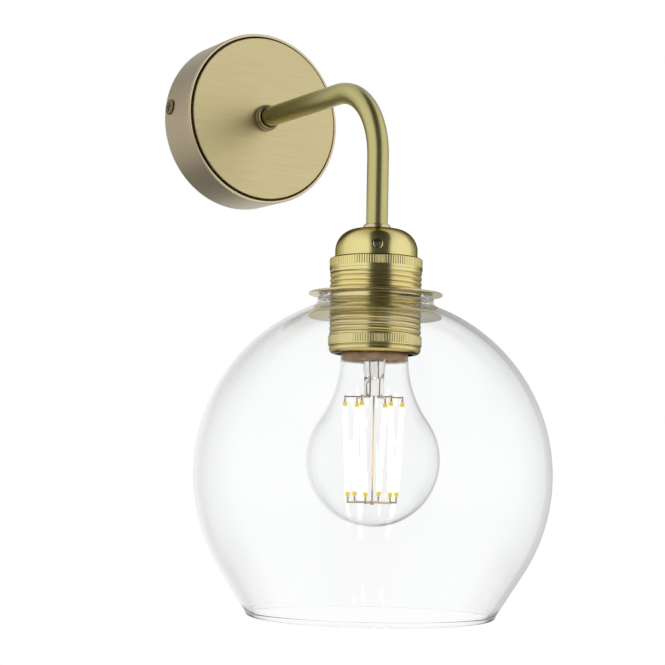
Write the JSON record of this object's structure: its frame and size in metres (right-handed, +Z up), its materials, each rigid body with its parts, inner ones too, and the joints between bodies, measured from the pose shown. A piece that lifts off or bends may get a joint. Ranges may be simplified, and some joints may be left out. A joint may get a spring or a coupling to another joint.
{
  "type": "wall lamp",
  "caption": "Wall lamp with a round rose, a bent tube arm, a threaded lampholder with shade rings, an open glass globe and a filament bulb.",
  "frame": {"origin": "centre of the rose on the wall, midway between the wall holes, on the wall plane", "axes": "+Y points into the wall, the lamp stands out along -Y, and +Z is up"},
  "size_m": [0.16, 0.21, 0.2853],
  "materials": {
    "rose_brass": "satin antique brass",
    "plate_brass": "fine satin antique brass",
    "arm_brass": "satin antique brass",
    "holder_brass": "polished brass",
    "ring_brass": "satin brass",
    "screw_brass": "dark brass",
    "set_screw_steel": "bright steel",
    "zinc_steel": "zinc plated",
    "contact_brass": "plain brass",
    "clear_glass": "clear, fire polished",
    "bulb_clear_glass": "clear",
    "stem_glass": "clear",
    "white_ceramic": "unglazed",
    "terminal_plastic": "matt",
    "base_nickel": "bright rolled",
    "black_insulator": "glossy",
    "tip_solder": "solder",
    "driver_board": "board",
    "lead_steel": "drawn wire",
    "filament_glow": "warm glowing coating",
    "wire_brown": "insulation",
    "wire_blue": "insulation",
    "wire_green_yellow": "insulation"
  },
  "bodies": {
    "base": {"rose_rim": "rose_brass", "rose_front_plate": "plate_brass", "rose_side_screws": "screw_brass", "wall_bracket": "zinc_steel", "terminal_block": "terminal_plastic", "terminal_barrels": "contact_brass", "terminal_screws": "zinc_steel", "earth_screw": "zinc_steel", "earth_tag": "contact_brass", "arm_tube": "arm_brass", "arm_collar": "arm_brass", "lock_washer": "zinc_steel", "arm_lock_nut": "zinc_steel", "arm_ferrule": "ring_brass", "wire_live": "wire_brown", "wire_neutral": "wire_blue", "wire_earth": "wire_green_yellow", "lampholder_cap": "holder_brass", "cap_set_screw": "set_screw_steel", "lampholder_skirt": "holder_brass", "lampholder_insert": "white_ceramic", "holder_terminals": "contact_brass", "contact_rivets": "contact_brass", "shell_contact": "contact_brass", "centre_contact": "contact_brass"},
    "upper_ring": {"upper_shade_ring": "ring_brass"},
    "shade": {"glass_shade": "clear_glass"},
    "lower_ring": {"lower_shade_ring": "ring_brass"},
    "bulb_tip": {"bulb_tip_contact": "tip_solder"},
    "bulb": {"bulb_glass": "bulb_clear_glass", "bulb_base": "base_nickel", "bulb_insulator": "black_insulator", "bulb_driver": "driver_board", "bulb_stem": "stem_glass", "bulb_lead_wires": "lead_steel", "bulb_filaments": "filament_glow", "bulb_filament_hub": "lead_steel"}
  },
  "joints": [
    {"name": "upper_ring_travel", "type": "slide", "parent": "base", "child": "upper_ring", "axis": [0, 0, 1], "range_m": [0, 0.01]},
    {"name": "shade_travel", "type": "slide", "parent": "base", "child": "shade", "axis": [0, 0, -1], "range_m": [0, 0.0072]},
    {"name": "lower_ring_turn", "type": "hinge", "parent": "shade", "child": "lower_ring", "pos_m": [0, -0.13, -0.1085], "axis": [0, 0, -1], "range_deg": [0, 1081]},
    {"name": "bulb_travel", "type": "slide", "parent": "base", "child": "bulb_tip", "axis": [0, 0, -1], "range_m": [0, 0.02177]},
    {"name": "bulb_turn", "type": "hinge", "parent": "bulb_tip", "child": "bulb", "pos_m": [0, -0.13, -0.11], "axis": [0, 0, -1], "range_deg": [0, 2161]}
  ],
  "couplings": [
    {"joint": "lower_ring_turn", "follows": "shade_travel", "rad_per_m": 2618},
    {"joint": "bulb_turn", "follows": "bulb_travel", "rad_per_m": 1731.4}
  ]
}
